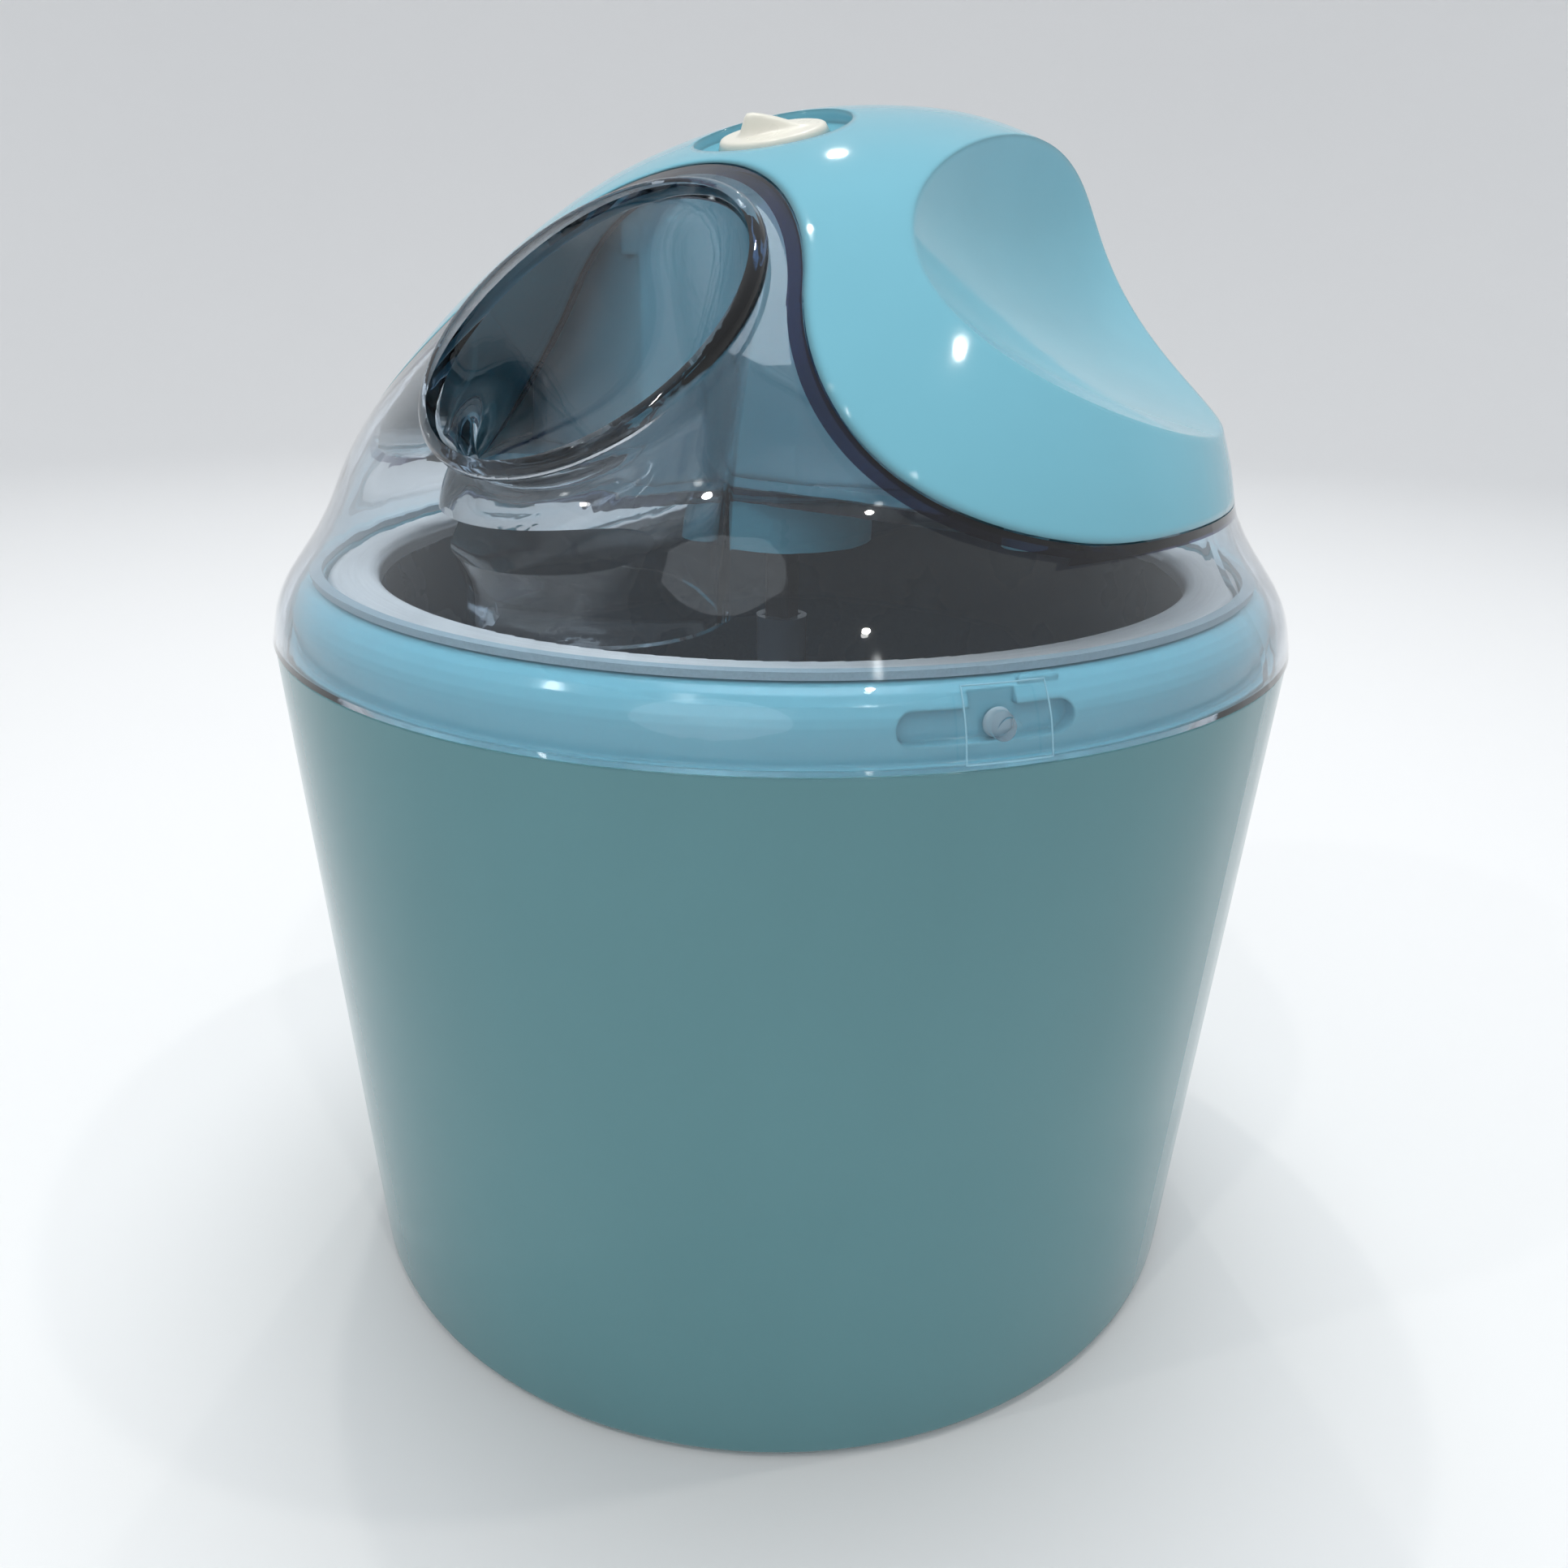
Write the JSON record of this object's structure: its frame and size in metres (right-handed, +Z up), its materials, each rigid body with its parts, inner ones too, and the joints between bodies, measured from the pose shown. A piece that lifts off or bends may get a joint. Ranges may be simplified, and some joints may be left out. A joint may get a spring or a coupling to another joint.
{
  "type": "ice cream maker",
  "caption": "Countertop ice cream maker: tapered bucket with a freezer bowl, clear domed bayonet lid with feed chute, and a lift-off motor unit driving a paddle.",
  "frame": {"origin": "table level under the middle of the bucket", "axes": "+Z up, chute towards -Y, +X to the right of someone facing the chute"},
  "size_m": [0.232, 0.232, 0.2693],
  "materials": {
    "aqua_shell": "glossy aqua blue moulding",
    "aqua_collar": "glossy lighter aqua moulding",
    "smoke_clear": "clear smoked plastic",
    "seal_clear": "translucent silicone",
    "satin_rim": "satin rolled edge",
    "bowl_grey": "dark satin hard coat",
    "bowl_skin": "plain moulded",
    "gel": "sealed cooling liquid",
    "rubber_grey": "soft matt",
    "cream": "satin cream moulding",
    "steel": "turned",
    "bronze": "sintered bronze",
    "copper": "enamelled winding",
    "gear_white": "acetal",
    "black_plastic": "moulded",
    "paddle_clear": "smoky clear moulding"
  },
  "bodies": {
    "base": {"outer_bucket": "aqua_shell", "collar_ring": "aqua_collar", "rubber_feet": "rubber_grey"},
    "bowl": {"bowl_rim": "satin_rim", "bowl_inner": "bowl_grey", "bowl_outer": "bowl_skin", "bowl_plug": "rubber_grey", "bowl_gasket": "rubber_grey", "coolant_gel": "gel"},
    "seal": {"lid_seal": "seal_clear"},
    "lid": {"lid_shell": "smoke_clear"},
    "paddle": {"paddle": "paddle_clear"},
    "motor_unit": {"motor_cover": "aqua_shell", "motor_base": "aqua_collar", "output_bush": "bronze", "cover_screws": "steel", "gear_plate": "steel", "plate_screws": "steel", "idler_axle": "steel", "motor_can": "steel", "motor_bushes": "bronze", "pole_ring": "steel", "stator_coil": "copper", "terminal_block": "gear_white", "cord_gland": "rubber_grey", "switch_body": "black_plastic"},
    "output": {"output_shaft": "black_plastic", "output_gear": "gear_white"},
    "idler": {"idler_gear": "gear_white"},
    "rotor": {"rotor_shaft": "steel", "rotor_core": "rubber_grey", "rotor_pinion": "gear_white"},
    "knob": {"knob": "cream", "switch_shaft": "steel"}
  },
  "joints": [
    {"name": "bowl_lift", "type": "slide", "parent": "base", "child": "bowl", "axis": [0, 0, 1], "range_m": [0, 0.16]},
    {"name": "lid_turn", "type": "hinge", "parent": "bowl", "child": "seal", "pos_m": [0, 0, 0.1615], "axis": [0, 0, 1], "range_deg": [-7.8, 5.9]},
    {"name": "lid_lift", "type": "slide", "parent": "seal", "child": "lid", "axis": [0, 0, 1], "range_m": [0, 0.14]},
    {"name": "motor_lift", "type": "slide", "parent": "lid", "child": "motor_unit", "axis": [0, 0, 1], "range_m": [0, 0.06]},
    {"name": "paddle_spin", "type": "hinge", "parent": "lid", "child": "paddle", "pos_m": [0, 0, 0.1], "axis": [0, 0, 1], "continuous": true},
    {"name": "output_spin", "type": "hinge", "parent": "motor_unit", "child": "output", "pos_m": [0, 0, 0.19], "axis": [0, 0, 1], "continuous": true},
    {"name": "idler_spin", "type": "hinge", "parent": "motor_unit", "child": "idler", "pos_m": [0.02252, 0.013, 0.2], "axis": [0, 0, 1], "continuous": true},
    {"name": "rotor_spin", "type": "hinge", "parent": "motor_unit", "child": "rotor", "pos_m": [0, 0.026, 0.22], "axis": [0, 0, 1], "continuous": true},
    {"name": "knob_turn", "type": "hinge", "parent": "motor_unit", "child": "knob", "pos_m": [0, -0.0063, 0.26236], "axis": [0, -0.2924, 0.9563], "range_deg": [0, 90]}
  ],
  "couplings": [
    {"joint": "output_spin", "follows": "paddle_spin", "ratio": 1},
    {"joint": "idler_spin", "follows": "paddle_spin", "ratio": -3.3333},
    {"joint": "rotor_spin", "follows": "paddle_spin", "ratio": 11.111}
  ]
}
